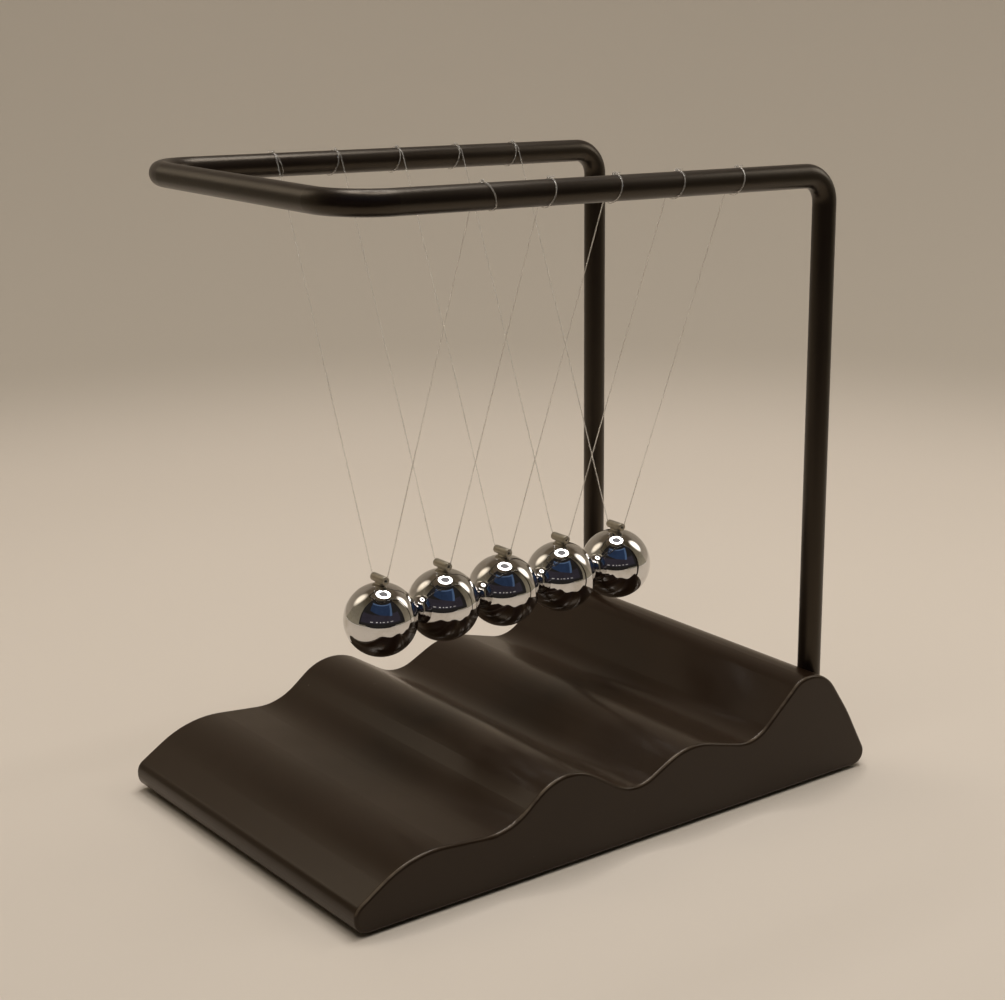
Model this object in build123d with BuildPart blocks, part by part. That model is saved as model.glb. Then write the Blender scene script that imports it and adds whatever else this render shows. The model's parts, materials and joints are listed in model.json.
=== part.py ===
from build123d import *
import os
from math import asin, atan2, cos, degrees, hypot, pi, radians, sin, sqrt, tan

# Desk cradle with five chrome balls. Millimetres, +Z up, +X from the low nose of the base
# to the two legs, the near side of the base at -Y. The origin is on the surface that the
# feet stand on, under the middle of the base.

# Balls and the tubes welded on top of them
BALL_COUNT = 5
BALL_D = 20.0
BALL_GAP = 0.25
BALL_Z = 55.8
BAIL_D = 2.25
BAIL_BORE = 0.8
BAIL_LENGTH = 5.9
BAIL_CHAMFER = 0.12
WELD_HEIGHT = 0.15
WELD_WIDTH = 1.4
WELD_LENGTH = 3.6
WELD_STOCK = 1.3

# Threads and the loops that tie them to the rails
THREAD_D = 0.32
THREAD_LIFT = 0.2
THREAD_BEND = 0.6
THREAD_BEND_OUT = 0.45
LOOP_CLEARANCE = 0.06
LOOP_SHIFT = 0.36
KNOT_D = 0.9
KNOT_ANGLE = 62.0
KNOT_CLEARANCE = 0.03

# Frame: one bent tube
TUBE_D = 6.4
TUBE_WALL = 1.0
RAIL_SPACING = 95.5
RAIL_Z = 170.3
RAIL_RISE = 1.53
LEG_X = 71.7
FRONT_X = -78.3
TOP_BEND = 7.5
FRONT_BEND = 13.0

# Base: a wave extruded across the cradle, hollow, with a cover underneath
BASE_WIDTH = 113.0
WALL = 2.5
EDGE_ROUND = 1.0
COVER_X0 = -78.0
COVER_X1 = 79.0
COVER_THICKNESS = 2.0
COVER_CLEARANCE = 0.15

# Side outline of the base as corners to round off: (x, height above the underside, radius).
# From the nose it goes over a low dune and two more to the crest that carries the legs, down
# the back to the heel and along the underside.
OUTLINE = [
    (-86.5, 6.7, 3.6),
    (-70.0, 17.1, 30.0),
    (-40.6, 14.25, 18.0),
    (-22.8, 28.1, 15.5),
    (0.4, 13.7, 12.0),
    (19.0, 23.0, 20.0),
    (42.9, 16.6, 11.5),
    (59.9, 31.05, 8.0),
    (69.7, 31.85, 12.0),
    (79.3, 17.6, 60.0),
    (88.8, 0.0, 3.6),
    (-86.5, 0.0, 3.9),
]

# Feet under the cover
FOOT_D = 12.0
FOOT_HEIGHT = 0.8
FOOT_ROUND = 0.3
FOOT_X = 70.0
FOOT_Y = 46.0

# Leg sockets and their fasteners
SOCKET_D = 11.0
SOCKET_CLEARANCE = 0.1
LEG_END = 6.6
SOCKET_FLOOR = 4.6
LEG_SCREW_D = 3.0
LEG_SCREW_LENGTH = 9.0
LEG_SCREW_HEAD_D = 5.5
LEG_SCREW_HEAD = 1.6
LEG_SCREW_HEAD_ROUND = 0.5
LEG_SCREW_HOLE_CLEARANCE = 0.2
HEX_KEY_R = 1.15
HEX_KEY_DEPTH = 1.0
LEG_WASHER_D = 6.8
LEG_WASHER = 0.6
LEG_RECESS_D = 7.4
PLUG_LENGTH = 12.0
FIT = 0.05

# Cover screws
BOSS_D = 7.0
BOSS_X = (-52.0, 4.0, 56.0)
BOSS_Y = 44.0
PILOT_D = 2.3
PILOT_DEPTH = 8.0
COVER_SCREW_D = 2.2
COVER_SCREW_LENGTH = 8.0
COVER_SCREW_HEAD_D = 5.2
COVER_SCREW_HEAD = 1.4
COVER_HOLE_D = 2.8
HEAD_CLEARANCE = 0.15
CROSS_SLOT_LENGTH = 2.6
CROSS_SLOT_WIDTH = 0.6
CROSS_SLOT_DEPTH = 0.7

# Worked out from the above
RAIL_Y = RAIL_SPACING / 2
PITCH = BALL_D + BALL_GAP
BALL_X = [PITCH * (i - (BALL_COUNT - 1) / 2) for i in range(BALL_COUNT)]
BAIL_Z = BALL_Z + BALL_D / 2 + WELD_HEIGHT + BAIL_D / 2
THREAD_Z = BAIL_Z + THREAD_LIFT
THREAD_BEND_Y = BAIL_LENGTH / 2 + THREAD_BEND_OUT
LOOP_R = TUBE_D / 2 + THREAD_D / 2 + LOOP_CLEARANCE
COVER_Y = BASE_WIDTH / 2 - WALL
HEAD_TAPER = degrees(atan2((COVER_SCREW_HEAD_D - COVER_SCREW_D) / 2, COVER_SCREW_HEAD))
SIDE_PLANE = Plane(origin=(0, BASE_WIDTH / 2, FOOT_HEIGHT), x_dir=(1, 0, 0), z_dir=(0, -1, 0))


def rail_height(x):
    """Height of the rails' centre line, which climbs a little towards the front bar."""
    return RAIL_Z - x * tan(radians(RAIL_RISE))


def thread_top(x):
    """Where a thread running up from its bail touches the loop on the far rail: (y, z)."""
    across = RAIL_Y - THREAD_BEND_Y
    up = rail_height(x) - THREAD_Z
    reach = hypot(across, up)
    angle = atan2(across, up) - asin(LOOP_R / reach)
    length = sqrt(reach**2 - LOOP_R**2)
    return THREAD_BEND_Y + length * sin(angle), THREAD_Z + length * cos(angle)


def leg_centres():
    """Places of the two legs, near then far."""
    return [(LEG_X, -RAIL_Y), (LEG_X, RAIL_Y)]


def boss_centres():
    """Places of the cover's screw bosses."""
    return [(x, side * BOSS_Y) for x in BOSS_X for side in (-1, 1)]


def wave_outline():
    """Closed side outline of the base."""
    with BuildLine() as outline:
        FilletPolyline(*[(x, z) for x, z, r in OUTLINE], radius=[r for x, z, r in OUTLINE], close=True)
    return outline.line


os.makedirs("parts", exist_ok=True)


def write(part, name):
    """Label one finished piece and write its STEP file."""
    part.label = name
    export_step(part, f"parts/{name}.step")


# Space inside the base: the outline moved in by the wall, less the sockets and bosses
with BuildPart() as cavity:
    with BuildSketch(SIDE_PLANE.offset(WALL)):
        with BuildLine():
            add(wave_outline())
        make_face()
        offset(amount=-WALL)
    extrude(amount=BASE_WIDTH - 2 * WALL)
    with BuildSketch(Plane.XY.offset(FOOT_HEIGHT)):
        with Locations(((COVER_X0 + COVER_X1) / 2, 0)):
            Rectangle(COVER_X1 - COVER_X0, 2 * COVER_Y)
    extrude(amount=COVER_THICKNESS + WALL)
    with BuildSketch(Plane.XY.offset(FOOT_HEIGHT + COVER_THICKNESS)):
        with Locations(*leg_centres()):
            Circle(SOCKET_D / 2)
        with Locations(*boss_centres()):
            Circle(BOSS_D / 2)
    extrude(amount=RAIL_Z, mode=Mode.SUBTRACT)

# Base shell: the wave with rounded sides, hollow, with a socket for each leg
with BuildPart() as base_shell:
    with BuildSketch(SIDE_PLANE):
        with BuildLine():
            add(wave_outline())
        make_face()
    extrude(amount=BASE_WIDTH)
    side_edges = base_shell.edges().group_by(Axis.Y)
    fillet(side_edges[0] + side_edges[-1], radius=EDGE_ROUND)
    add(cavity.part, mode=Mode.SUBTRACT)
    with BuildSketch(Plane.XY.offset(FOOT_HEIGHT + LEG_END)):
        with Locations(*leg_centres()):
            Circle(TUBE_D / 2 + SOCKET_CLEARANCE)
    extrude(amount=RAIL_Z, mode=Mode.SUBTRACT)
    with BuildSketch(Plane.XY.offset(FOOT_HEIGHT)):
        with Locations(*leg_centres()):
            Circle(LEG_RECESS_D / 2)
    extrude(amount=SOCKET_FLOOR, mode=Mode.SUBTRACT)
    with BuildSketch(Plane.XY.offset(FOOT_HEIGHT)):
        with Locations(*leg_centres()):
            Circle(LEG_SCREW_D / 2 + LEG_SCREW_HOLE_CLEARANCE)
    extrude(amount=LEG_END, mode=Mode.SUBTRACT)
    with BuildSketch(Plane.XY.offset(FOOT_HEIGHT)):
        with Locations(*boss_centres()):
            Circle(PILOT_D / 2)
    extrude(amount=COVER_THICKNESS + PILOT_DEPTH, mode=Mode.SUBTRACT)
write(base_shell.part, "base_shell")

# Cover: a flat plate in the mouth of the shell, screwed to the bosses
with BuildPart() as base_cover:
    with BuildSketch(Plane.XY.offset(FOOT_HEIGHT)):
        with Locations(((COVER_X0 + COVER_X1) / 2, 0)):
            Rectangle(COVER_X1 - COVER_X0 - 2 * COVER_CLEARANCE, 2 * (COVER_Y - COVER_CLEARANCE))
    extrude(amount=COVER_THICKNESS - FIT)
    with BuildSketch(Plane.XY.offset(FOOT_HEIGHT)):
        with Locations(*boss_centres()):
            Circle(COVER_HOLE_D / 2)
    extrude(amount=COVER_THICKNESS, mode=Mode.SUBTRACT)
    with BuildSketch(Plane.XY.offset(FOOT_HEIGHT)):
        with Locations(*boss_centres()):
            Circle(COVER_SCREW_HEAD_D / 2 + HEAD_CLEARANCE)
    extrude(amount=COVER_SCREW_HEAD, taper=HEAD_TAPER, mode=Mode.SUBTRACT)
write(base_cover.part, "base_cover")

# Cover screws: countersunk, all alike, in one node
with BuildPart() as cover_screws:
    with BuildSketch(Plane.XY.offset(FOOT_HEIGHT)):
        with Locations(*boss_centres()):
            Circle(COVER_SCREW_D / 2)
    extrude(amount=COVER_SCREW_LENGTH)
    with BuildSketch(Plane.XY.offset(FOOT_HEIGHT + FIT)):
        with Locations(*boss_centres()):
            Circle(COVER_SCREW_HEAD_D / 2)
    extrude(amount=COVER_SCREW_HEAD, taper=HEAD_TAPER)
    with BuildSketch(Plane.XY.offset(FOOT_HEIGHT + FIT)):
        with Locations(*boss_centres()):
            Rectangle(CROSS_SLOT_LENGTH, CROSS_SLOT_WIDTH)
            Rectangle(CROSS_SLOT_WIDTH, CROSS_SLOT_LENGTH)
    extrude(amount=CROSS_SLOT_DEPTH, mode=Mode.SUBTRACT)
write(cover_screws.part, "cover_screws")

# Feet: flat round pads under the cover
for name, x, y in (
    ("foot_nose_near", -FOOT_X, -FOOT_Y),
    ("foot_nose_far", -FOOT_X, FOOT_Y),
    ("foot_heel_near", FOOT_X, -FOOT_Y),
    ("foot_heel_far", FOOT_X, FOOT_Y),
):
    with BuildPart() as foot:
        with BuildSketch():
            with Locations((x, y)):
                Circle(FOOT_D / 2)
        extrude(amount=FOOT_HEIGHT)
        fillet(foot.edges().group_by(Axis.Z)[0], radius=FOOT_ROUND)
    write(foot.part, name)

# Frame: near leg, near rail, front bar, far rail and far leg in one bent tube
leg_bottom = FOOT_HEIGHT + LEG_END
with BuildPart() as frame:
    with BuildLine() as frame_route:
        FilletPolyline(
            (LEG_X, -RAIL_Y, leg_bottom),
            (LEG_X, -RAIL_Y, rail_height(LEG_X)),
            (FRONT_X, -RAIL_Y, rail_height(FRONT_X)),
            (FRONT_X, RAIL_Y, rail_height(FRONT_X)),
            (LEG_X, RAIL_Y, rail_height(LEG_X)),
            (LEG_X, RAIL_Y, leg_bottom),
            radius=[TOP_BEND, FRONT_BEND, FRONT_BEND, TOP_BEND],
        )
    with BuildSketch(Plane(origin=frame_route.line @ 0, z_dir=frame_route.line % 0)):
        Circle(TUBE_D / 2)
        Circle(TUBE_D / 2 - TUBE_WALL, mode=Mode.SUBTRACT)
    sweep()
write(frame.part, "frame")
tube_section = pi * ((TUBE_D / 2) ** 2 - (TUBE_D / 2 - TUBE_WALL) ** 2)
print("frame volume over section x length:", frame.part.volume / (tube_section * frame_route.wire().length))

# Threaded plugs in the ends of the legs
with BuildPart() as leg_plugs:
    with BuildSketch(Plane.XY.offset(leg_bottom)):
        with Locations(*leg_centres()):
            Circle(TUBE_D / 2 - TUBE_WALL - FIT)
            Circle(LEG_SCREW_D / 2 + FIT, mode=Mode.SUBTRACT)
    extrude(amount=PLUG_LENGTH)
write(leg_plugs.part, "leg_plugs")

# Washers and screws that pull the legs down into their sockets
with BuildPart() as leg_washers:
    with BuildSketch(Plane.XY.offset(FOOT_HEIGHT + SOCKET_FLOOR - LEG_WASHER)):
        with Locations(*leg_centres()):
            Circle(LEG_WASHER_D / 2)
            Circle(LEG_SCREW_D / 2 + LEG_SCREW_HOLE_CLEARANCE, mode=Mode.SUBTRACT)
    extrude(amount=LEG_WASHER)
write(leg_washers.part, "leg_washers")

with BuildPart() as leg_screws:
    screw_head_z = FOOT_HEIGHT + SOCKET_FLOOR - LEG_WASHER - LEG_SCREW_HEAD
    with BuildSketch(Plane.XY.offset(screw_head_z)):
        with Locations(*leg_centres()):
            Circle(LEG_SCREW_HEAD_D / 2)
    extrude(amount=LEG_SCREW_HEAD)
    fillet(leg_screws.edges().group_by(Axis.Z)[0], radius=LEG_SCREW_HEAD_ROUND)
    with BuildSketch(Plane.XY.offset(screw_head_z + LEG_SCREW_HEAD)):
        with Locations(*leg_centres()):
            Circle(LEG_SCREW_D / 2)
    extrude(amount=LEG_SCREW_LENGTH)
    with BuildSketch(Plane.XY.offset(screw_head_z)):
        with Locations(*leg_centres()):
            RegularPolygon(HEX_KEY_R, 6)
    extrude(amount=HEX_KEY_DEPTH, mode=Mode.SUBTRACT)
write(leg_screws.part, "leg_screws")

# Pendulums: ball, the small tube welded across its top, and the thread through that tube
for i, x in enumerate(BALL_X, start=1):
    with BuildPart() as ball:
        with Locations((x, 0, BALL_Z + BALL_D / 2)):
            Box(WELD_WIDTH, WELD_LENGTH, WELD_STOCK)
        with Locations(Location((x, 0, BAIL_Z), (90, 0, 0))):
            Cylinder(BAIL_D / 2, BAIL_LENGTH, mode=Mode.SUBTRACT)
        with BuildSketch(Plane.XY.offset(BAIL_Z)):
            with Locations((x, 0)):
                Rectangle(2 * WELD_WIDTH, 2 * WELD_LENGTH)
        extrude(amount=BAIL_D, mode=Mode.SUBTRACT)
        with Locations((x, 0, BALL_Z)):
            Sphere(BALL_D / 2)
    write(ball.part, f"ball_{i}")

    with BuildPart() as bail:
        with BuildSketch(Plane(origin=(x, -BAIL_LENGTH / 2, BAIL_Z), z_dir=(0, 1, 0))):
            Circle(BAIL_D / 2)
            Circle(BAIL_BORE / 2, mode=Mode.SUBTRACT)
        extrude(amount=BAIL_LENGTH)
        chamfer(bail.edges().filter_by(GeomType.CIRCLE).filter_by(lambda e: e.radius > BAIL_BORE), length=BAIL_CHAMFER)
    write(bail.part, f"bail_{i}")

    top_y, top_z = thread_top(x)
    with BuildPart() as thread:
        with BuildLine() as thread_route:
            FilletPolyline(
                (x, -top_y, top_z),
                (x, -THREAD_BEND_Y, THREAD_Z),
                (x, THREAD_BEND_Y, THREAD_Z),
                (x, top_y, top_z),
                radius=THREAD_BEND,
            )
        with BuildSketch(Plane(origin=thread_route.line @ 0, z_dir=thread_route.line % 0)):
            Circle(THREAD_D / 2)
        sweep()
    write(thread.part, f"thread_{i}")
    section = pi * (THREAD_D / 2) ** 2
    print(
        f"thread_{i}: length {thread_route.wire().length:.1f}, bend radius {THREAD_BEND},",
        f"volume over section x length {thread.part.volume / (section * thread_route.wire().length):.4f},",
        f"hangs from z {top_z:.2f}",
    )

# Loops that tie each thread round the near and the far rail, with a knot on the inner side.
# A loop stands beside its thread, on the side that the thread never swings to.
for i, x in enumerate(BALL_X, start=1):
    loop_x = x + LOOP_SHIFT if i == 1 else x - LOOP_SHIFT
    for name, side in (("near", -1), ("far", 1)):
        knot_r = TUBE_D / 2 + KNOT_D / 2 + KNOT_CLEARANCE
        knot_y = side * (RAIL_Y - knot_r * cos(radians(KNOT_ANGLE)))
        knot_z = rail_height(x) + knot_r * sin(radians(KNOT_ANGLE))
        with BuildPart() as hitch:
            with Locations(Location((loop_x, side * RAIL_Y, rail_height(x)), (0, 90, 0))):
                Torus(LOOP_R, THREAD_D / 2)
            with Locations((loop_x, knot_y, knot_z)):
                Sphere(KNOT_D / 2)
        write(hitch.part, f"hitch_{name}_{i}")
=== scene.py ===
import bpy
import bmesh
import json
import math
from mathutils import Matrix, Vector


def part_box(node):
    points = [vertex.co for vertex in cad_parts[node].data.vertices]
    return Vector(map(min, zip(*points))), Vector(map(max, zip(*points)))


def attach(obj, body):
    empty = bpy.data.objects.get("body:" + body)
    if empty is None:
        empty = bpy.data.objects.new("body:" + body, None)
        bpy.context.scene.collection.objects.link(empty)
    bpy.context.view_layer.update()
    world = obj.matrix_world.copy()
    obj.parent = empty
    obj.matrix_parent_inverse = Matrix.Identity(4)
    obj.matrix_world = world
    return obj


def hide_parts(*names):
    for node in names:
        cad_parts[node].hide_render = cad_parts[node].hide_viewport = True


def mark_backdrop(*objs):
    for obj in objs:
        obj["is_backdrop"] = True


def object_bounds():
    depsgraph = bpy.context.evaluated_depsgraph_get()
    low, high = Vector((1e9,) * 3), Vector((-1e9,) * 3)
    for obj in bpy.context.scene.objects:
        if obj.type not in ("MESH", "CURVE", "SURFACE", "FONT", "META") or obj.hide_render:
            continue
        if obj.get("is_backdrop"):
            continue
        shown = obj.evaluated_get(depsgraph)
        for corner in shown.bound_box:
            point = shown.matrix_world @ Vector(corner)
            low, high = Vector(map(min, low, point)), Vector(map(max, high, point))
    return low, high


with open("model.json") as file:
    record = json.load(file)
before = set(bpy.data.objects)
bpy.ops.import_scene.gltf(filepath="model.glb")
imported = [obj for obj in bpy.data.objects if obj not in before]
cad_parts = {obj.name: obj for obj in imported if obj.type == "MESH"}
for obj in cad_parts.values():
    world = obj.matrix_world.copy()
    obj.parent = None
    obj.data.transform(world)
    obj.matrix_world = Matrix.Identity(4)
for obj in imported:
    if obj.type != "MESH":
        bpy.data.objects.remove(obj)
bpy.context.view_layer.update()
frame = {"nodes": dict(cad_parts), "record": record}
NODES = frame["nodes"]
MM = 0.001
FULL_TURN = 2 * math.pi


def direction(azimuth, elevation):
    """Unit vector from the object to a viewer; azimuth 0 is a viewer at -Y who looks along +Y."""
    flat = math.cos(elevation)
    return Vector((math.sin(azimuth) * flat, -math.cos(azimuth) * flat, math.sin(elevation)))


# ---------------------------------------------------------------- camera
CAMERA_AT = Vector((-0.31252, -0.41865, 0.22508))
CAMERA_AZIMUTH = math.radians(-36.75)
CAMERA_ELEVATION = math.radians(15.36)
CAMERA_ROLL = math.radians(-0.54)
CAMERA_LENS = 71.06
CAMERA_SENSOR = 36.0
CAMERA_NEAREST = 0.01
CAMERA_FARTHEST = 20.0


def make_camera():
    back = direction(CAMERA_AZIMUTH, CAMERA_ELEVATION)
    right = Vector((math.cos(CAMERA_AZIMUTH), math.sin(CAMERA_AZIMUTH), 0.0))
    up = back.cross(right)
    turned_right = math.cos(CAMERA_ROLL) * right + math.sin(CAMERA_ROLL) * up
    turned_up = math.cos(CAMERA_ROLL) * up - math.sin(CAMERA_ROLL) * right
    data = bpy.data.cameras.new("camera")
    data.lens = CAMERA_LENS
    data.sensor_width = CAMERA_SENSOR
    data.clip_start = CAMERA_NEAREST
    data.clip_end = CAMERA_FARTHEST
    cam = bpy.data.objects.new("camera", data)
    bpy.context.scene.collection.objects.link(cam)
    turn = Matrix((turned_right, turned_up, back)).transposed()
    cam.matrix_world = Matrix.Translation(CAMERA_AT) @ turn.to_4x4()
    bpy.context.scene.camera = cam


make_camera()


# ---------------------------------------------------------------- shader nodes
def new_material(name):
    """A new material, its node tree and its Principled shader."""
    mat = bpy.data.materials.new(name)
    mat.use_nodes = True
    tree = mat.node_tree
    return mat, tree, tree.nodes["Principled BSDF"]


def node(tree, kind, **values):
    """A node with its properties and named inputs set."""
    made = tree.nodes.new(kind)
    for key, value in values.items():
        if hasattr(made, key) and not key[0].isupper():
            setattr(made, key, value)
        else:
            made.inputs[key.replace("_", " ")].default_value = value
    return made


def link(tree, a, b):
    tree.links.new(a, b)


def place(tree):
    """Position on the object, in metres."""
    return node(tree, "ShaderNodeTexCoord").outputs["Object"]


def parts_of(tree, vector):
    """The X, Y and Z outputs of a vector."""
    made = node(tree, "ShaderNodeSeparateXYZ")
    link(tree, vector, made.inputs[0])
    return made.outputs


def noise(tree, where, scale, detail=2.0, rough=0.5):
    made = node(tree, "ShaderNodeTexNoise", Scale=scale, Detail=detail, Roughness=rough)
    link(tree, where, made.inputs["Vector"])
    return made.outputs["Fac"]


def remap(tree, value, low, high, to_low, to_high):
    """value moved from low..high to to_low..to_high, and held inside it."""
    made = node(tree, "ShaderNodeMapRange", clamp=True)
    made.inputs["From Min"].default_value = low
    made.inputs["From Max"].default_value = high
    made.inputs["To Min"].default_value = to_low
    made.inputs["To Max"].default_value = to_high
    link(tree, value, made.inputs["Value"])
    return made.outputs["Result"]


def times(tree, first, second):
    made = node(tree, "ShaderNodeMath", operation="MULTIPLY")
    link(tree, first, made.inputs[0])
    link(tree, second, made.inputs[1])
    return made.outputs[0]


def band(tree, value, low, high, soft):
    """1 between low and high, falling to 0 over soft on both sides."""
    rising = remap(tree, value, low - soft, low, 0.0, 1.0)
    falling = remap(tree, value, high, high + soft, 1.0, 0.0)
    return times(tree, rising, falling)


def mix_colour(tree, factor, first, second):
    """first where factor is 0 and second where it is 1; each is a colour or an output."""
    made = node(tree, "ShaderNodeMix", data_type="RGBA")
    link(tree, factor, made.inputs["Factor"])
    for socket, value in ((made.inputs[6], first), (made.inputs[7], second)):
        if isinstance(value, tuple):
            socket.default_value = (*value, 1.0)
        else:
            link(tree, value, socket)
    return made.outputs[2]


def bump(tree, shader, height, strength, distance):
    made = node(tree, "ShaderNodeBump", Strength=strength, Distance=distance)
    link(tree, height, made.inputs["Height"])
    link(tree, made.outputs["Normal"], shader.inputs["Normal"])


# ---------------------------------------------------------------- materials
PLASTIC_DARK = (0.0105, 0.0054, 0.0026)
PLASTIC_PALE = (0.0145, 0.0074, 0.0036)
PLASTIC_DUST = (0.16, 0.14, 0.12)
# pale colour of the side edges: partly scuffed plastic, partly a painted highlight
PLASTIC_WEAR_AND_HIGHLIGHT = (0.115, 0.092, 0.068)
DUST_CELLS = 330.0
GRAIN_DEPTH = 0.1 * MM
PEEL_DEPTH = 0.2 * MM
COAT_DARK = (0.0060, 0.0034, 0.0026)
COAT_PALE = (0.0085, 0.0050, 0.0036)
CHROME_CLEAR = (0.70, 0.690, 0.685)
CHROME_SMUDGE = (0.56, 0.535, 0.50)
CHROME_SPECK = (0.22, 0.19, 0.15)
NYLON_DARK = (0.76, 0.73, 0.68)
NYLON_PALE = (0.88, 0.85, 0.80)
RUBBER_DARK = (0.018, 0.017, 0.016)
RUBBER_PALE = (0.030, 0.028, 0.026)
NICKEL_DARK = (0.29, 0.255, 0.195)
NICKEL_PALE = (0.46, 0.415, 0.335)
ZINC_DARK = (0.50, 0.52, 0.55)
ZINC_PALE = (0.60, 0.62, 0.64)


def dust_on(tree, where):
    """1 on a few scattered specks: the middles of a few cells, picked by their random colour."""
    cells = node(tree, "ShaderNodeTexVoronoi", Scale=DUST_CELLS)
    link(tree, where, cells.inputs["Vector"])
    speck = remap(tree, cells.outputs["Distance"], 0.03, 0.06, 1.0, 0.0)
    pick = node(tree, "ShaderNodeSeparateColor")
    link(tree, cells.outputs["Color"], pick.inputs[0])
    some = remap(tree, pick.outputs[0], 0.93, 0.96, 0.0, 1.0)
    return times(tree, speck, some)


def wear_and_highlight_on(tree, where):
    """Paler colour on the rounding along each side of the wave, most on the slopes that face -X:
    partly scuffing, partly a painted highlight on the slopes that face the light.
    """
    facing = parts_of(tree, node(tree, "ShaderNodeTexCoord").outputs["Normal"])
    sideways = node(tree, "ShaderNodeMath", operation="ABSOLUTE")
    link(tree, facing["Y"], sideways.inputs[0])
    rounding = band(tree, sideways.outputs[0], 0.30, 0.72, 0.16)
    rounding = times(tree, rounding, remap(tree, facing["Z"], 0.15, 0.35, 0.0, 1.0))
    rounding = times(tree, rounding, remap(tree, facing["X"], 0.06, -0.22, 0.12, 1.0))
    wear_and_highlight_patches = remap(tree, noise(tree, where, 160.0, 5.0, 0.65), 0.36, 0.60, 0.35, 1.0)
    return times(tree, rounding, wear_and_highlight_patches)


def plastic_material():
    """Black moulded plastic: fine grain, uneven satin, a little dust and paler side edges, partly
    scuffing and partly a painted highlight.
    """
    mat, tree, shader = new_material("black_plastic")
    where = place(tree)
    broad = noise(tree, where, 28.0, 3.0)
    colour = mix_colour(tree, broad, PLASTIC_DARK, PLASTIC_PALE)
    colour = mix_colour(tree, dust_on(tree, where), colour, PLASTIC_DUST)
    # paler side edges: partly scuffing, partly a painted highlight
    colour = mix_colour(tree, wear_and_highlight_on(tree, where), colour, PLASTIC_WEAR_AND_HIGHLIGHT)
    link(tree, colour, shader.inputs["Base Color"])
    link(tree, remap(tree, broad, 0.3, 0.7, 0.33, 0.42), shader.inputs["Roughness"])
    shader.inputs["Specular IOR Level"].default_value = 0.22
    shader.inputs["Specular Tint"].default_value = (1.0, 0.84, 0.66, 1.0)
    bump(tree, shader, noise(tree, where, 2600.0), 0.12, GRAIN_DEPTH)
    shader.inputs["Coat Weight"].default_value = 0.50
    shader.inputs["Coat IOR"].default_value = 1.34
    shader.inputs["Coat Roughness"].default_value = 0.20
    shader.inputs["Coat Tint"].default_value = (1.0, 0.90, 0.78, 1.0)
    return mat


def coat_material():
    """Black powder coat: satin with a very fine orange peel."""
    mat, tree, shader = new_material("black_coat")
    where = place(tree)
    broad = noise(tree, where, 40.0, 3.0)
    link(tree, mix_colour(tree, broad, COAT_DARK, COAT_PALE), shader.inputs["Base Color"])
    link(tree, remap(tree, broad, 0.3, 0.7, 0.30, 0.36), shader.inputs["Roughness"])
    shader.inputs["Specular IOR Level"].default_value = 0.54
    shader.inputs["Specular Tint"].default_value = (1.0, 0.83, 0.62, 1.0)
    bump(tree, shader, noise(tree, where, 1100.0), 0.10, PEEL_DEPTH)
    return mat


def metal_material(name, dark, pale, rough, cloud_scale, grain):
    """Plated metal, uneven in colour and roughness, with a fine grain."""
    mat, tree, shader = new_material(name)
    where = place(tree)
    broad = noise(tree, where, cloud_scale)
    link(tree, mix_colour(tree, broad, dark, pale), shader.inputs["Base Color"])
    link(tree, remap(tree, broad, 0.3, 0.7, *rough), shader.inputs["Roughness"])
    shader.inputs["Metallic"].default_value = 1.0
    bump(tree, shader, noise(tree, where, 3500.0), grain, GRAIN_DEPTH)
    return mat


def chrome_material():
    """Chrome plate with handling marks: cloudy smudges, faint waviness and a few specks."""
    mat, tree, shader = new_material("chrome")
    where = place(tree)
    cloud = noise(tree, where, 230.0, 5.0, 0.62)
    smudge = remap(tree, cloud, 0.47, 0.68, 0.0, 1.0)
    colour = mix_colour(tree, smudge, CHROME_CLEAR, CHROME_SMUDGE)
    specks = remap(tree, noise(tree, where, 2100.0, 3.0, 0.7), 0.64, 0.74, 0.0, 0.35)
    colour = mix_colour(tree, specks, colour, CHROME_SPECK)
    link(tree, colour, shader.inputs["Base Color"])
    link(tree, remap(tree, cloud, 0.42, 0.70, 0.012, 0.075), shader.inputs["Roughness"])
    shader.inputs["Metallic"].default_value = 1.0
    bump(tree, shader, noise(tree, where, 150.0, 1.0, 0.4), 0.24, PEEL_DEPTH)
    return mat


def nylon_material():
    """Clear thread, brighter and fainter by turns along its length."""
    mat, tree, shader = new_material("nylon")
    where = place(tree)
    broad = noise(tree, where, 300.0)
    link(tree, mix_colour(tree, broad, NYLON_DARK, NYLON_PALE), shader.inputs["Base Color"])
    shader.inputs["Roughness"].default_value = 0.22
    shader.inputs["Transmission Weight"].default_value = 0.70
    faint = remap(tree, noise(tree, where, 55.0), 0.38, 0.62, 0.32, 0.62)
    link(tree, faint, shader.inputs["Alpha"])
    return mat


def rubber_material():
    """Soft black rubber."""
    mat, tree, shader = new_material("rubber")
    where = place(tree)
    broad = noise(tree, where, 200.0, 3.0)
    link(tree, mix_colour(tree, broad, RUBBER_DARK, RUBBER_PALE), shader.inputs["Base Color"])
    shader.inputs["Roughness"].default_value = 0.75
    bump(tree, shader, noise(tree, where, 1500.0), 0.2, PEEL_DEPTH)
    return mat


MATERIALS = {
    "black_plastic": plastic_material(),
    "black_coat": coat_material(),
    "chrome": chrome_material(),
    "satin_nickel": metal_material(
        "satin_nickel", NICKEL_DARK, NICKEL_PALE, (0.38, 0.52), 900.0, 0.25
    ),
    "nylon": nylon_material(),
    "rubber": rubber_material(),
    "zinc_steel": metal_material("zinc_steel", ZINC_DARK, ZINC_PALE, (0.25, 0.38), 500.0, 0.1),
}
SLOT_OF = {entry["node"]: entry["material_slot"] for entry in frame["record"]["subparts"]}
for name, piece in NODES.items():
    piece.data.materials.clear()
    piece.data.materials.append(MATERIALS[SLOT_OF[name]])


# ---------------------------------------------------------------- mesh helpers
SHARP_FROM = math.radians(40.0)


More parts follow.
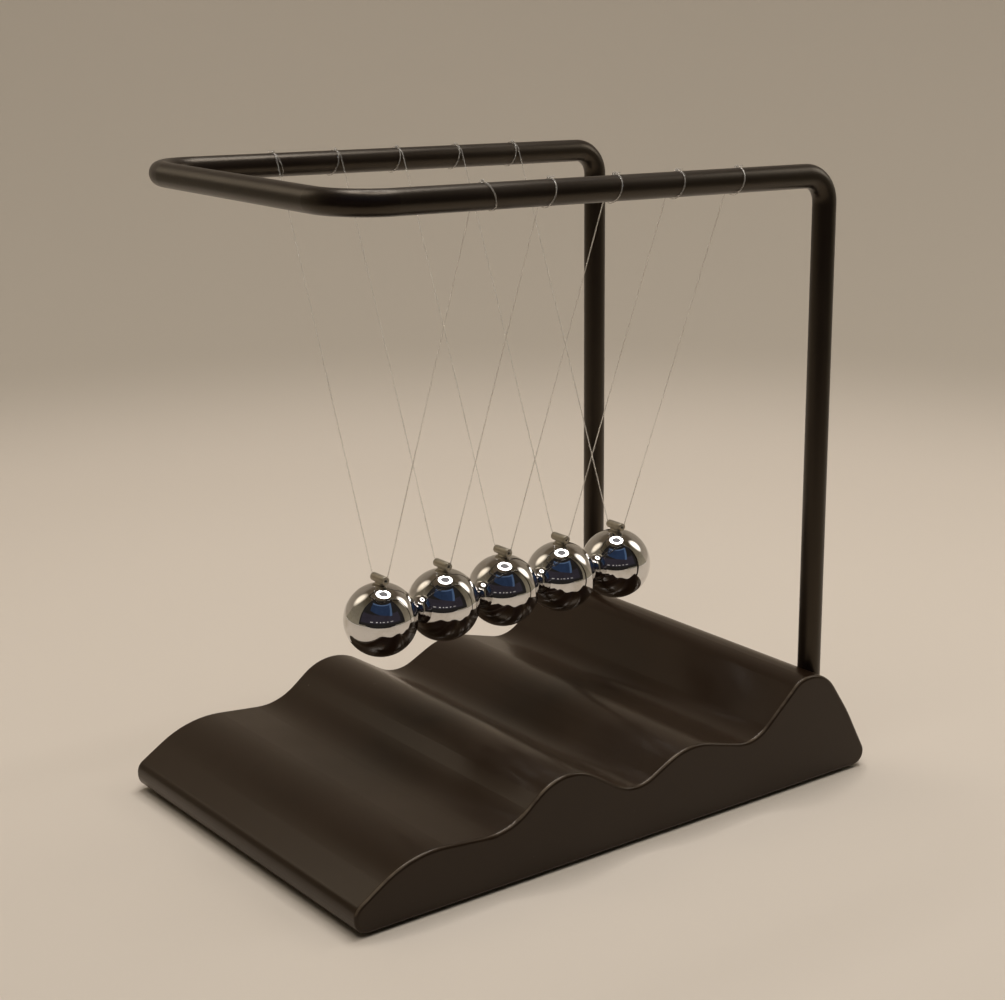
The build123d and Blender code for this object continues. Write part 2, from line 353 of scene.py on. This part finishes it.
def mesh_object(name, vertices, faces, material, smooth=True):
    mesh = bpy.data.meshes.new(name)
    mesh.from_pydata(vertices, [], faces)
    mesh.materials.append(material)
    for polygon in mesh.polygons:
        polygon.use_smooth = smooth
    made = bpy.data.objects.new(name, mesh)
    bpy.context.scene.collection.objects.link(made)
    return made


def around_circle(steps):
    """The angles of evenly spaced points round a circle."""
    return [FULL_TURN * k / steps for k in range(steps)]


def tube_along(points, radius, sides, closed=False):
    """(vertices, faces) of a round tube along points, with its ends capped or joined."""
    count = len(points)
    vertices, faces = [], []
    side = None
    for k, point in enumerate(points):
        before = points[k - 1] if k > 0 or closed else points[k]
        after = points[(k + 1) % count] if k < count - 1 or closed else points[k]
        along = (after - before).normalized()
        if side is None:
            side = along.orthogonal().normalized()
        side = (side - along * side.dot(along)).normalized()
        other = along.cross(side)
        for t in around_circle(sides):
            vertices.append(point + radius * (math.cos(t) * side + math.sin(t) * other))
    rows = count if closed else count - 1
    for k in range(rows):
        here, there = k * sides, ((k + 1) % count) * sides
        for j in range(sides):
            n = (j + 1) % sides
            faces.append((here + j, here + n, there + n, there + j))
    if not closed:
        faces.append(tuple(reversed(range(sides))))
        faces.append(tuple(range((count - 1) * sides, count * sides)))
    return vertices, faces


def joined(shapes):
    """One (vertices, faces) out of several."""
    vertices, faces = [], []
    for some_vertices, some_faces in shapes:
        start = len(vertices)
        vertices.extend(some_vertices)
        faces.extend(tuple(start + k for k in face) for face in some_faces)
    return vertices, faces


def turned(profile, steps, centre, axis="Z"):
    """(vertices, faces) of (radius, height) points turned about an axis through centre.

    A profile that starts on the axis also ends on it; any other is joined end to start."""
    vertices, faces, rings = [], [], []
    for radius, height in profile:
        if radius < 1e-9:
            rings.append([len(vertices)])
            flat = [(0.0, 0.0)]
        else:
            rings.append(list(range(len(vertices), len(vertices) + steps)))
            flat = [(radius * math.cos(t), radius * math.sin(t)) for t in around_circle(steps)]
        for u, v in flat:
            offset = Vector((u, v, height)) if axis == "Z" else Vector((v, height, u))
            vertices.append(Vector(centre) + offset)
    next_rings = rings[1:] + ([rings[0]] if len(rings[0]) > 1 else [])
    for low_ring, high_ring in zip(rings, next_rings):
        for k in range(steps):
            n = (k + 1) % steps
            if len(low_ring) == 1:
                faces.append((low_ring[0], high_ring[n], high_ring[k]))
            elif len(high_ring) == 1:
                faces.append((low_ring[k], low_ring[n], high_ring[0]))
            else:
                faces.append((low_ring[k], low_ring[n], high_ring[n], high_ring[k]))
    return vertices, faces


def fix_outward(made):
    """Makes every face point outward."""
    work = bmesh.new()
    work.from_mesh(made.data)
    bmesh.ops.recalc_face_normals(work, faces=work.faces)
    work.to_mesh(made.data)
    work.free()


# ---------------------------------------------------------------- balls, bails and hitches
BALL_COUNT = 5
BALL_STEPS = 128
BALL_RADIUS = 10.0 * MM

BAIL_STEPS = 48
BAIL_BORE_RADIUS = 0.4 * MM
BAIL_OUTER_CHAMFER = 0.14 * MM
BAIL_BORE_CHAMFER = 0.12 * MM

BEAD_STEPS = 40
BEAD_ROWS = 10
BEAD_HALF_X = 1.08 * MM
BEAD_HALF_Y = 2.05 * MM
BEAD_SINK = 0.06 * MM
BEAD_HEIGHT = 0.86 * MM

STRAND_RADIUS = 0.16 * MM
STRAND_SIDES = 10
LOOP_RADIUS = 3.42 * MM
LOOP_EDGE = 3.58 * MM
LOOP_STEPS = 72
KNOT_AT = math.radians(66.0)
KNOT_SIDE = 0.34
KNOT_TURNS = 3.0
THREAD_TOP_MARGIN = 0.05 * MM


def ball_mesh(centre):
    profile = [(0.0, -BALL_RADIUS)]
    rows = BALL_STEPS // 2
    for k in range(1, rows):
        t = math.pi * k / rows - math.pi / 2
        profile.append((BALL_RADIUS * math.cos(t), BALL_RADIUS * math.sin(t)))
    profile.append((0.0, BALL_RADIUS))
    return turned(profile, BALL_STEPS, centre)


def bead_mesh(centre):
    """Braze bead between a ball and its bail: narrow at the top, spread at the foot."""
    top = centre.z + BALL_RADIUS
    vertices, faces = [], []
    for row in range(BEAD_ROWS + 1):
        lift = row / BEAD_ROWS
        spread = 1.0 - 0.42 * math.sin(lift * math.pi / 2) ** 0.8
        for t in around_circle(BEAD_STEPS):
            wobble = 1.0 + 0.05 * math.sin(3 * t + 1.3) + 0.03 * math.sin(5 * t + centre.x * 900)
            x = BEAD_HALF_X * spread * wobble * math.cos(t)
            y = BEAD_HALF_Y * (1.0 - 0.12 * lift) * wobble * math.sin(t)
            ball_top = math.sqrt(max(BALL_RADIUS**2 - x * x - y * y, 0.0)) - BALL_RADIUS
            rise = ball_top * (1 - lift) - BEAD_SINK + BEAD_HEIGHT * lift
            vertices.append(Vector((centre.x + x, centre.y + y, top + rise)))
    for row in range(BEAD_ROWS):
        here, there = row * BEAD_STEPS, (row + 1) * BEAD_STEPS
        for k in range(BEAD_STEPS):
            n = (k + 1) % BEAD_STEPS
            faces.append((here + k, here + n, there + n, there + k))
    faces.append(tuple(range(BEAD_ROWS * BEAD_STEPS, (BEAD_ROWS + 1) * BEAD_STEPS)))
    faces.append(tuple(reversed(range(BEAD_STEPS))))
    return vertices, faces


def bail_mesh(low, high):
    """Short tube across the top of a ball: bored, and chamfered inside and out."""
    centre = (low + high) / 2
    half, outer = (high.y - low.y) / 2, (high.z - low.z) / 2
    bore, lip, edge = BAIL_BORE_RADIUS, BAIL_BORE_CHAMFER, BAIL_OUTER_CHAMFER
    far_half = [
        (outer, half * 0.34),
        (outer, half - edge),
        (outer - 0.3 * edge, half - 0.3 * edge),
        (outer - edge, half),
        (bore + lip, half),
        (bore, half - lip),
    ]
    near_half = [(radius, -height) for radius, height in reversed(far_half)]
    return turned(near_half + far_half, BAIL_STEPS, centre, axis="Y")


def hitch_mesh(rail_y, rail_z, x, side, lean, tangent):
    """The thread's own loop round a rail, its riser, the twisted knot and the cut end.

    side is -1 for the near rail and 1 for the far one. lean is 1 or -1, the way along the rail
    that the loop runs off. tangent is the angle up the inner side at which the thread arrives."""

    def on_rail(angle, out, shift):
        """A point round the rail: angle 0 is the inner side and 90 degrees the top."""
        y = rail_y - side * out * math.cos(angle)
        return Vector((x + shift, y, rail_z + out * math.sin(angle)))

    loop = []
    for angle in around_circle(LOOP_STEPS):
        shift = lean * (0.30 + 1.0 * (1 - math.sin(angle))) * MM
        loop.append(on_rail(angle, LOOP_RADIUS, shift))
    riser = []
    for k in range(13):
        t = k / 12
        angle = tangent + (KNOT_AT - tangent) * t
        riser.append(on_rail(angle, LOOP_RADIUS + 0.02 * MM, lean * 0.30 * t * t * MM))
    twist = []
    for k in range(61):
        t = k / 60
        angle = KNOT_AT + math.radians(4.0 + 20.0 * t)
        turn = FULL_TURN * KNOT_TURNS * t
        swell = (0.15 + 0.12 * math.sin(math.pi * t)) * MM
        out = LOOP_RADIUS + 0.14 * MM + swell * math.cos(turn)
        twist.append(on_rail(angle, out, lean * KNOT_SIDE * MM + swell * math.sin(turn)))
    cut_end = []
    for k in range(7):
        t = k / 6
        angle = KNOT_AT + math.radians(24.0 + 9.0 * t)
        out = LOOP_RADIUS + (0.18 + 0.22 * t) * MM
        cut_end.append(on_rail(angle, out, lean * (KNOT_SIDE - 0.9 * t) * MM))
    strands = [tube_along(loop, STRAND_RADIUS, STRAND_SIDES, closed=True)]
    for path in (riser, twist, cut_end):
        strands.append(tube_along(path, STRAND_RADIUS, STRAND_SIDES))
    return joined(strands)


def add_piece(name, shape, material, body, slot, *nodes):
    vertices, faces = shape
    made = mesh_object(name, vertices, faces, material)
    fix_outward(made)
    made.data.set_sharp_from_angle(angle=SHARP_FROM)
    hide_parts(*nodes)
    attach(made, body)


for number in range(1, BALL_COUNT + 1):
    body = f"pendulum_{number}"
    ball_low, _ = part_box(f"ball_{number}")
    bail_low, bail_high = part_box(f"bail_{number}")
    centre = Vector(((bail_low.x + bail_high.x) / 2, 0.0, ball_low.z + BALL_RADIUS))
    add_piece(
        f"chrome_ball_{number}",
        ball_mesh(centre),
        MATERIALS["chrome"],
        body,
        "chrome",
        f"ball_{number}",
    )
    add_piece(
        f"bail_tube_{number}",
        joined([bail_mesh(bail_low, bail_high), bead_mesh(centre)]),
        MATERIALS["satin_nickel"],
        body,
        "satin_nickel",
        f"bail_{number}",
    )
    _, thread_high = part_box(f"thread_{number}")
    lean = 1.0 if number == 1 else -1.0
    for side, word in ((-1, "near"), (1, "far")):
        low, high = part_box(f"hitch_{word}_{number}")
        outer_y = low.y if side < 0 else high.y
        rail_z = low.z + LOOP_EDGE
        rail_y = outer_y - side * LOOP_EDGE
        climb = (thread_high.z - THREAD_TOP_MARGIN - rail_z) / LOOP_RADIUS
        arrives = math.asin(min(1.0, max(-1.0, climb)))
        add_piece(
            f"tied_loop_{word}_{number}",
            hitch_mesh(rail_y, rail_z, centre.x, side, lean, arrives),
            MATERIALS["nylon"],
            "stand",
            "nylon",
            f"hitch_{word}_{number}",
        )


# ---------------------------------------------------------------- light tent
CLOTH_DARK = (0.71, 0.635, 0.55)
CLOTH_PALE = (0.73, 0.655, 0.57)
# the wall is darker than the floor cloth: painted shade where the cloth turns up away from the
# light
WALL_SHADE_DARK = (0.475, 0.425, 0.355)
WALL_SHADE_PALE = (0.495, 0.440, 0.370)
# creased curtains: their light and dark creases are painted light and shade
FOLD_SHADING_DARK = (0.27, 0.245, 0.185)
FOLD_SHADING_PALE = (0.40, 0.365, 0.285)
# a painted shadow in the gap between the floor cloth's hem and the curtains
GAP_SHADOW_COLOUR = (0.07, 0.055, 0.04)
HEM_COLOUR = (0.96, 0.94, 0.90)
WALL_FROM_HEIGHT = -0.010
WALL_FULL_HEIGHT = 0.030
HEM_FROM, HEM_TO = 0.412, 0.430
GAP_FROM, GAP_TO = 0.434, 0.446
FOLDS_FROM, FOLDS_FULL = 0.448, 0.450
EDGE_SOFT = 0.002

FLOOR_RADIUS = 0.36
FLOOR_ROWS = (0.0005, 0.2, 0.34, 0.345, 0.35, 0.355, FLOOR_RADIUS)
TENT_RADIUS = 0.78
TENT_HEIGHT = 1.00
WALL_TOP = 0.65
SHOULDER_RADIUS = 0.3
CEILING_ROWS = (0.42, 0.36, 0.32, 0.28, 0.24, 0.12, 0.0005)
BEND_STEPS = 72
SHOULDER_STEPS = 12
TENT_STEPS = 360

FRONT_FROM = math.radians(-64.0)
FRONT_TO = math.radians(78.0)
FRONT_EDGE = 0.35
FRONT_REACH = 0.50
FRONT_LINTEL = 0.28
OVERHEAD_FROM = 0.5
SIDE_BACK = -0.23
SIDE_RADIUS = 0.405
PLAIN_INSET = 0.9996
PLAIN_LIFT = 0.0002
PLAIN_OVERLAP = 0.03


def tent_material(name, with_hem):
    """Cloth of the light tent: pale on the floor, greyer where it turns up into the wall; the grey
    is painted shade.

    with_hem adds the edge of the floor cloth, a painted shadow in the gap beyond it and the creased
    curtains beyond that, their creases painted in light and shade."""
    mat, tree, shader = new_material(name)
    where = place(tree)
    height = parts_of(tree, where)["Z"]
    rise = node(tree, "ShaderNodeMapRange", clamp=True, interpolation_type="SMOOTHSTEP")
    rise.inputs["From Min"].default_value = WALL_FROM_HEIGHT
    rise.inputs["From Max"].default_value = WALL_FULL_HEIGHT
    link(tree, height, rise.inputs["Value"])
    cloth = mix_colour(tree, noise(tree, where, 3.0), CLOTH_DARK, CLOTH_PALE)
    # painted shade: the wall's darker colour
    wall = mix_colour(tree, noise(tree, where, 3.0), WALL_SHADE_DARK, WALL_SHADE_PALE)
    colour = mix_colour(tree, rise.outputs["Result"], cloth, wall)
    if with_hem:
        flat = node(tree, "ShaderNodeVectorMath", operation="MULTIPLY")
        link(tree, where, flat.inputs[0])
        flat.inputs[1].default_value = (1.0, 1.0, 0.0)
        out_from = node(tree, "ShaderNodeVectorMath", operation="LENGTH")
        link(tree, flat.outputs[0], out_from.inputs[0])
        radius = out_from.outputs["Value"]
        # painted light and shade of the creases in the curtains
        fold_shading = mix_colour(tree, noise(tree, where, 14.0, 4.0), FOLD_SHADING_DARK, FOLD_SHADING_PALE)
        beyond = remap(tree, radius, FOLDS_FROM, FOLDS_FULL, 0.0, 1.0)
        colour = mix_colour(tree, beyond, colour, fold_shading)
        # painted shadow in the gap beyond the hem
        gap = band(tree, radius, GAP_FROM, GAP_TO, EDGE_SOFT)
        colour = mix_colour(tree, gap, colour, GAP_SHADOW_COLOUR)
        hem = band(tree, radius, HEM_FROM, HEM_TO, EDGE_SOFT)
        colour = mix_colour(tree, hem, colour, HEM_COLOUR)
    link(tree, colour, shader.inputs["Base Color"])
    shader.inputs["Roughness"].default_value = 0.9
    shader.inputs["Specular IOR Level"].default_value = 0.1
    return mat


def tent_profile():
    """(radius, height) from the middle of the floor, up the wall and in over the ceiling."""
    points = [(radius, 0.0) for radius in FLOOR_ROWS]
    bend = TENT_RADIUS - FLOOR_RADIUS
    for k in range(1, BEND_STEPS + 1):
        t = math.pi / 2 * k / BEND_STEPS
        points.append((FLOOR_RADIUS + bend * math.sin(t), bend * (1 - math.cos(t))))
    points.append((TENT_RADIUS, WALL_TOP))
    for k in range(SHOULDER_STEPS + 1):
        t = math.pi / 2 * k / SHOULDER_STEPS
        radius = TENT_RADIUS - SHOULDER_RADIUS * (1 - math.cos(t))
        points.append((radius, TENT_HEIGHT - SHOULDER_RADIUS + SHOULDER_RADIUS * math.sin(t)))
    points.extend((radius, TENT_HEIGHT) for radius in CEILING_ROWS)
    return points


def tent_shell(name, keep, material, scale=1.0, lift=0.0):
    """The part of the tent whose faces keep(azimuth from the camera, radius, height) accepts."""
    profile = tent_profile()
    vertices = []
    for radius, height in profile:
        for angle in around_circle(TENT_STEPS):
            turn = angle + CAMERA_AZIMUTH
            out = scale * radius
            vertices.append((out * math.sin(turn), -out * math.cos(turn), scale * height + lift))
    faces = []
    for row in range(len(profile) - 1):
        radius = (profile[row][0] + profile[row + 1][0]) / 2
        height = (profile[row][1] + profile[row + 1][1]) / 2
        for k in range(TENT_STEPS):
            turn = math.remainder(FULL_TURN * (k + 0.5) / TENT_STEPS, FULL_TURN)
            if keep(turn, radius, height):
                a, b = row * TENT_STEPS + k, row * TENT_STEPS + (k + 1) % TENT_STEPS
                faces.append((a, b, b + TENT_STEPS, a + TENT_STEPS))
    return mesh_object(name, vertices, faces, material)


def in_front(turn, radius, height):
    """True where the tent is open to the dark room that the camera stands in."""
    if not FRONT_FROM < turn < FRONT_TO:
        return False
    overhead = height > OVERHEAD_FROM and radius > FRONT_LINTEL
    return overhead or radius > FRONT_REACH or radius * math.cos(turn) > FRONT_EDGE


def at_side(turn, radius, height, overlap=0.0):
    """True on the curtains left and right of the opening."""
    far_out = radius > SIDE_RADIUS - overlap
    beside = radius * math.cos(turn) > SIDE_BACK - overlap
    return not in_front(turn, radius, height) and far_out and beside


def near_side(turn, radius, height):
    """The curtains and a little more, for the plain copy to lap over its neighbours."""
    return at_side(turn, radius, height, PLAIN_OVERLAP)


def at_back(turn, radius, height):
    """True on the floor and the back wall."""
    return not in_front(turn, radius, height) and not at_side(turn, radius, height)


def seen_by(thing, camera=False, glossy=False, diffuse=False):
    """Sets which rays meet a thing; it never casts a shadow."""
    thing.visible_camera = camera
    thing.visible_glossy = glossy
    thing.visible_diffuse = diffuse
    thing.visible_transmission = camera
    thing.visible_shadow = False


# The curtains are met by reflections and bounced light only, and the camera meets plain cloth
# in their place, so that the backdrop is plain from every side.
TENT = tent_material("tent", False)
CURTAIN = tent_material("tent_curtain", True)
tent = tent_shell("tent", at_back, TENT)
tent_front = tent_shell("tent_front", in_front, TENT, PLAIN_INSET, PLAIN_LIFT)
tent_sides = tent_shell("tent_sides", at_side, CURTAIN)
tent_sides_plain = tent_shell("tent_sides_plain", near_side, TENT, PLAIN_INSET, PLAIN_LIFT)
seen_by(tent_front, camera=True)
seen_by(tent_sides_plain, camera=True)
seen_by(tent_sides, glossy=True, diffuse=True)
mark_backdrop(tent, tent_front, tent_sides, tent_sides_plain)


# ---------------------------------------------------------------- lights and the dark room
BALLS_AT = (0.0, 0.0, 0.0558)
AROUND_CENTRE = (0.0, 0.0, 0.06)
RING_STEPS = 64
PANE_STEPS = 12
ROOM_DISTANCE = 1.6
MARK_DISTANCE = 1.5
SOFT_EDGE_TO = 0.55
WORLD_COLOUR = (0.036, 0.032, 0.029, 1.0)
WORLD_STRENGTH = 0.6


def emitter(name, colour, strength, soft_edge=False):
    """One-sided glowing material; with soft_edge it adds its glow to what is behind it, and
    fades out to nothing from the middle of its object."""
    mat = bpy.data.materials.new(name)
    mat.use_nodes = True
    tree = mat.node_tree
    tree.nodes.clear()
    glow = node(tree, "ShaderNodeEmission", Strength=strength)
    glow.inputs["Color"].default_value = (*colour, 1.0)
    front = glow.outputs[0]
    if soft_edge:
        ramp = node(tree, "ShaderNodeTexGradient", gradient_type="SPHERICAL")
        link(tree, place(tree), ramp.inputs["Vector"])
        fading = remap(tree, ramp.outputs["Fac"], 0.0, SOFT_EDGE_TO, 0.0, strength)
        link(tree, fading, glow.inputs["Strength"])
        clear = node(tree, "ShaderNodeBsdfTransparent")
        both = node(tree, "ShaderNodeAddShader")
        link(tree, glow.outputs[0], both.inputs[0])
        link(tree, clear.outputs[0], both.inputs[1])
        front = both.outputs[0]
    back = node(tree, "ShaderNodeBsdfTransparent")
    side = node(tree, "ShaderNodeNewGeometry")
    one_sided = node(tree, "ShaderNodeMixShader")
    link(tree, side.outputs["Backfacing"], one_sided.inputs[0])
    link(tree, front, one_sided.inputs[1])
    link(tree, back.outputs[0], one_sided.inputs[2])
    out = node(tree, "ShaderNodeOutputMaterial")
    link(tree, one_sided.outputs[0], out.inputs["Surface"])
    return mat


def around(azimuth, elevation, distance):
    """A place as seen from the balls: azimuth from the camera's and elevation, in degrees."""
    out = direction(math.radians(azimuth) + CAMERA_AZIMUTH, math.radians(elevation))
    return Vector(AROUND_CENTRE) + out * distance


def face_balls(thing):
    """Turns the front of a thing to the balls."""
    thing.rotation_mode = "QUATERNION"
    thing.rotation_quaternion = (Vector(BALLS_AT) - thing.location).to_track_quat("Z", "Y")


def area_light(name, at, aim, size, power, colour):
    data = bpy.data.lights.new(name, "AREA")
    data.shape = "DISK"
    data.size = size
    data.energy = power
    data.color = colour
    light = bpy.data.objects.new(name, data)
    bpy.context.scene.collection.objects.link(light)
    light.location = at
    light.rotation_mode = "QUATERNION"
    light.rotation_quaternion = (Vector(aim) - Vector(at)).to_track_quat("-Z", "Y")
    light.visible_camera = False
    return light


def ring_light(name, at, outer, inner, material):
    """A flat ring, turned to the balls."""
    vertices, faces = [], []
    for t in around_circle(RING_STEPS):
        for radius in (outer, inner):
            vertices.append((radius * math.cos(t), radius * math.sin(t), 0.0))
    for k in range(RING_STEPS):
        a, b = 2 * k, 2 * ((k + 1) % RING_STEPS)
        faces.append((a, b, b + 1, a + 1))
    made = mesh_object(name, vertices, faces, material, smooth=False)
    made.location = at
    face_balls(made)
    return made


def panel(name, at, width, height, material):
    """A flat panel, turned to the balls; in its own coordinates it reaches 1 each way."""
    corners = [(-1, -1, 0), (1, -1, 0), (1, 1, 0), (-1, 1, 0)]
    made = mesh_object(name, corners, [(0, 1, 2, 3)], material, smooth=False)
    made.location = at
    made.scale = (width / 2, height / 2, 1.0)
    face_balls(made)
    return made


def pane(name, corners, glow_name, colour, strength, distance=ROOM_DISTANCE):
    """A dim four-sided glow in the dark room, its corners as (azimuth, elevation)."""
    vertices = []
    for first, second in ((corners[0], corners[1]), (corners[3], corners[2])):
        for k in range(PANE_STEPS + 1):
            t = k / PANE_STEPS
            azimuth = first[0] + (second[0] - first[0]) * t
            elevation = first[1] + (second[1] - first[1]) * t
            vertices.append(around(azimuth, elevation, distance))
    row = PANE_STEPS + 1
    faces = [(k, k + 1, row + k + 1, row + k) for k in range(PANE_STEPS)]
    glow = emitter(glow_name, colour, strength)
    return mesh_object(name, vertices, faces, glow, smooth=False)


# name, corners, glow's name, colour, strength
PANES = (
    ("blue_window", [(-44, 60), (58, 56), (36, 21), (-38, 40)],
     "blue_glow", (0.14, 0.24, 0.50), 0.17),
    ("blue_top", [(-45, 63), (61, 59), (58, 54), (-43, 58)],
     "blue_top_glow", (0.30, 0.46, 0.78), 0.34),
    ("blue_side", [(49, 57), (61, 58), (40, 20), (33, 21)],
     "blue_side_glow", (0.26, 0.42, 0.74), 0.30),
    ("blue_low", [(-38, 44), (10, 46), (10, 42), (-37, 40)],
     "blue_low_glow", (0.24, 0.38, 0.70), 0.28),
    ("room_haze", [(-60, 30), (66, 30), (66, 4), (-60, 4)],
     "haze_glow", (0.42, 0.36, 0.46), 0.085),
)
# first azimuth, width in degrees, strength
ROOM_MARKS = ((-30, 9, 0.55), (-12, 5, 0.8), (0, 3, 0.9), (8, 7, 0.6), (22, 4, 0.7), (33, 8, 0.4))
MARK_TOP, MARK_BOTTOM = 9.5, 7.0
MARK_COLOUR = (0.9, 0.85, 0.8)

ring_glow = emitter("ring_glow", (1.0, 0.968, 0.94), 11.8)
core_glow = emitter("core_glow", (0.98, 0.94, 0.95), 0.30)
ring = ring_light("ring_light", around(155.0, 79.0, 0.86), 0.260, 0.165, ring_glow)
core = ring_light("ring_core", around(155.0, 79.0, 0.87), 0.165, 0.0005, core_glow)
side_glow = emitter("side_glow", (1.0, 0.88, 0.70), 1.25, True)
side_glow_2 = emitter("side_glow_2", (1.0, 0.94, 0.84), 2.6, True)
left_glow = panel("left_glow", around(-110.0, 38.0, 0.62), 0.30, 0.46, side_glow)
right_glow = panel("right_glow", around(112.0, 34.0, 0.62), 0.27, 0.42, side_glow_2)
room = [pane(*values) for values in PANES]
for k, (left, width, strength) in enumerate(ROOM_MARKS):
    right = left + width
    corners = [(left, MARK_TOP), (right, MARK_TOP), (right, MARK_BOTTOM), (left, MARK_BOTTOM)]
    glow_name = f"mark_glow_{k}"
    room.append(pane(f"room_mark_{k}", corners, glow_name, MARK_COLOUR, strength, MARK_DISTANCE))
fill = area_light(
    "front_fill", around(-6.0, 62.0, 0.80), (0, 0, 0), size=0.5, power=2.0, colour=(1.0, 0.96, 0.90)
)
fill.visible_glossy = False
for thing in (ring, core, left_glow, right_glow):
    thing.visible_camera = False
for thing in room:
    seen_by(thing, glossy=True)
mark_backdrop(ring, core, left_glow, right_glow, *room)

world = bpy.data.worlds.new("world")
bpy.context.scene.world = world
world.use_nodes = True
background = world.node_tree.nodes["Background"]
background.inputs["Color"].default_value = WORLD_COLOUR
background.inputs["Strength"].default_value = WORLD_STRENGTH

bpy.context.scene.view_settings.view_transform = "Standard"

# ---------------------------------------------------------------- finish
low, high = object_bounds()
